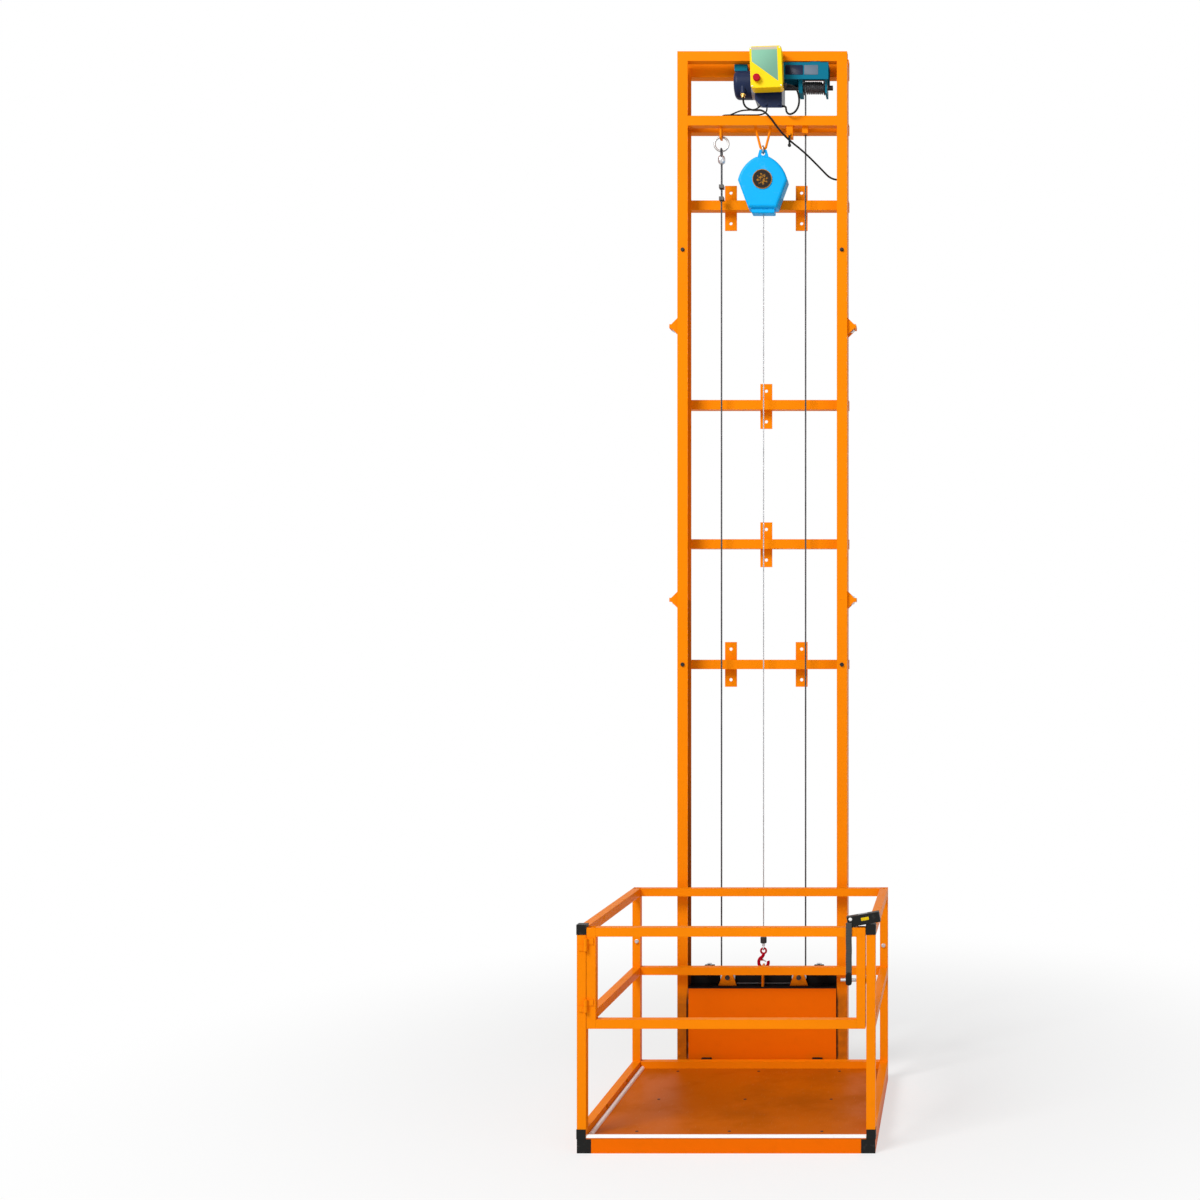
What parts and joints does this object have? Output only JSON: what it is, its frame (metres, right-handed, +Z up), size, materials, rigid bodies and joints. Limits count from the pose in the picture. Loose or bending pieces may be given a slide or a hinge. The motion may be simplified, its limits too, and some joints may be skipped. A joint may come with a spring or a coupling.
{
  "type": "wall-mounted cargo lift",
  "caption": "Wall-mounted cargo lift: a gated goods cage on a roller carriage rides a channel mast, raised by an electric rope hoist and backed by a fall arrester.",
  "frame": {"origin": "middle of the mast's base plate, on its underside, on the floor", "axes": "+X to the right seen from the front, +Y towards the wall, +Z up"},
  "size_m": [1.0697, 1.03, 4.265],
  "materials": {
    "orange_paint": "semi-gloss powder coat",
    "floor_paint": "worn semi-gloss paint",
    "dark_paint": "satin paint",
    "teal_paint": "gloss paint",
    "navy_paint": "satin paint",
    "steel": "zinc plated",
    "wire_rope": "stranded wire",
    "yellow_plastic": "moulded",
    "red_plastic": "moulded",
    "red_paint": "gloss paint",
    "brass": "turned",
    "black_rubber": "matte",
    "black_plastic": "moulded",
    "grey_plastic": "moulded",
    "blue_plastic": "moulded"
  },
  "bodies": {
    "mast": {"lower_uprights": "orange_paint", "middle_uprights": "orange_paint", "upper_uprights": "orange_paint", "base_plate": "orange_paint", "head_beams": "orange_paint", "hoist_beams": "orange_paint", "wall_beams": "orange_paint", "mast_bolts": "steel", "hoist_frame": "teal_paint", "drum_bearings": "steel", "gearbox_housing": "navy_paint", "hoist_motor": "navy_paint", "motor_cap": "teal_paint", "control_box": "yellow_plastic", "control_cover": "yellow_plastic", "cable_glands": "brass", "power_lead": "black_rubber", "control_leads": "black_rubber", "limit_switch": "orange_paint", "rope_lugs": "orange_paint", "hanging_rings": "steel", "rope_dead_end": "wire_rope", "rope_clips": "steel", "arrester_front_shell": "blue_plastic", "arrester_rear_shell": "blue_plastic", "arrester_hanger": "orange_paint", "rope_left_fall": "wire_rope", "rope_right_fall": "wire_rope", "arrester_cable": "wire_rope"},
    "cage": {"cage_base_frame": "orange_paint", "floor_plate": "floor_paint", "cage_posts": "orange_paint", "cage_rails": "orange_paint", "cage_end_caps": "black_plastic", "cage_brackets": "dark_paint", "cage_bolts": "steel", "gate_fittings": "orange_paint", "carriage_plate": "orange_paint", "carriage_frame": "dark_paint", "carriage_lugs": "orange_paint", "carriage_axles": "steel", "rope_under_run": "wire_rope", "safety_hook": "red_paint", "cable_end": "steel"},
    "drum": {"rope_drum": "steel", "rope_winding": "wire_rope"},
    "reel": {"arrester_reel": "grey_plastic"},
    "stop": {"stop_button": "red_plastic"},
    "limit_arm": {"limit_lever": "black_plastic"},
    "lower_guide": {"lower_rollers": "black_plastic"},
    "upper_guide": {"upper_rollers": "black_plastic"},
    "left_sheave": {"left_pulley": "steel"},
    "right_sheave": {"right_pulley": "steel"},
    "gate": {"gate": "orange_paint", "handset_body": "black_plastic", "handset_strap": "black_rubber"},
    "bolt": {"gate_bolt": "steel"},
    "rocker": {"handset_rocker": "grey_plastic"},
    "latch": {"hook_latch": "steel"}
  },
  "joints": [
    {"name": "cage_lift", "type": "slide", "parent": "mast", "child": "cage", "axis": [0, 0, 1], "range_m": [0, 2.7], "deforming": ["rope_left_fall", "rope_right_fall", "arrester_cable"]},
    {"name": "drum_spin", "type": "hinge", "parent": "mast", "child": "drum", "pos_m": [0.2, 0.0223, 4.137], "axis": [1, 0, 0], "continuous": true},
    {"name": "reel_spin", "type": "hinge", "parent": "mast", "child": "reel", "pos_m": [0, 0, 3.734], "axis": [0, 1, 0], "continuous": true},
    {"name": "lower_roll", "type": "hinge", "parent": "cage", "child": "lower_guide", "pos_m": [0, 0, 0.098], "axis": [1, 0, 0], "continuous": true},
    {"name": "upper_roll", "type": "hinge", "parent": "cage", "child": "upper_guide", "pos_m": [0, 0, 0.326], "axis": [1, 0, 0], "continuous": true},
    {"name": "left_sheave_spin", "type": "hinge", "parent": "cage", "child": "left_sheave", "pos_m": [-0.149, 0, 0.4075], "axis": [0, 1, 0], "continuous": true},
    {"name": "right_sheave_spin", "type": "hinge", "parent": "cage", "child": "right_sheave", "pos_m": [0.149, 0, 0.4075], "axis": [0, 1, 0], "continuous": true},
    {"name": "gate_swing", "type": "hinge", "parent": "cage", "child": "gate", "pos_m": [-0.492, -0.937, 0.6], "axis": [0, 0, -1], "range_deg": [0, 100]},
    {"name": "bolt_slide", "type": "slide", "parent": "gate", "child": "bolt", "axis": [1, 0, 0], "range_m": [0, 0.034]},
    {"name": "rocker_tilt", "type": "hinge", "parent": "gate", "child": "rocker", "pos_m": [0.48048, -0.914, 0.83638], "axis": [0, 1, 0], "range_deg": [-5, 5], "stiffness_Nm_per_rad": 0.05},
    {"name": "stop_press", "type": "slide", "parent": "mast", "child": "stop", "axis": [0, 1, 0], "range_m": [0, 0.004], "stiffness_N_per_m": 800},
    {"name": "limit_swing", "type": "hinge", "parent": "mast", "child": "limit_arm", "pos_m": [0.113, -0.037, 3.921], "axis": [0, 1, 0], "range_deg": [-25, 25], "stiffness_Nm_per_rad": 0.05},
    {"name": "latch_swing", "type": "hinge", "parent": "cage", "child": "latch", "pos_m": [-0.004, 0, 0.48], "axis": [0, 1, 0], "range_deg": [0, 25], "stiffness_Nm_per_rad": 0.02}
  ],
  "couplings": [
    {"joint": "drum_spin", "follows": "cage_lift", "rad_per_m": -89.686},
    {"joint": "reel_spin", "follows": "cage_lift", "rad_per_m": 15.625},
    {"joint": "lower_roll", "follows": "cage_lift", "rad_per_m": -29.412},
    {"joint": "upper_roll", "follows": "cage_lift", "rad_per_m": 29.412},
    {"joint": "left_sheave_spin", "follows": "cage_lift", "rad_per_m": -37.037},
    {"joint": "right_sheave_spin", "follows": "cage_lift", "rad_per_m": -37.037}
  ]
}
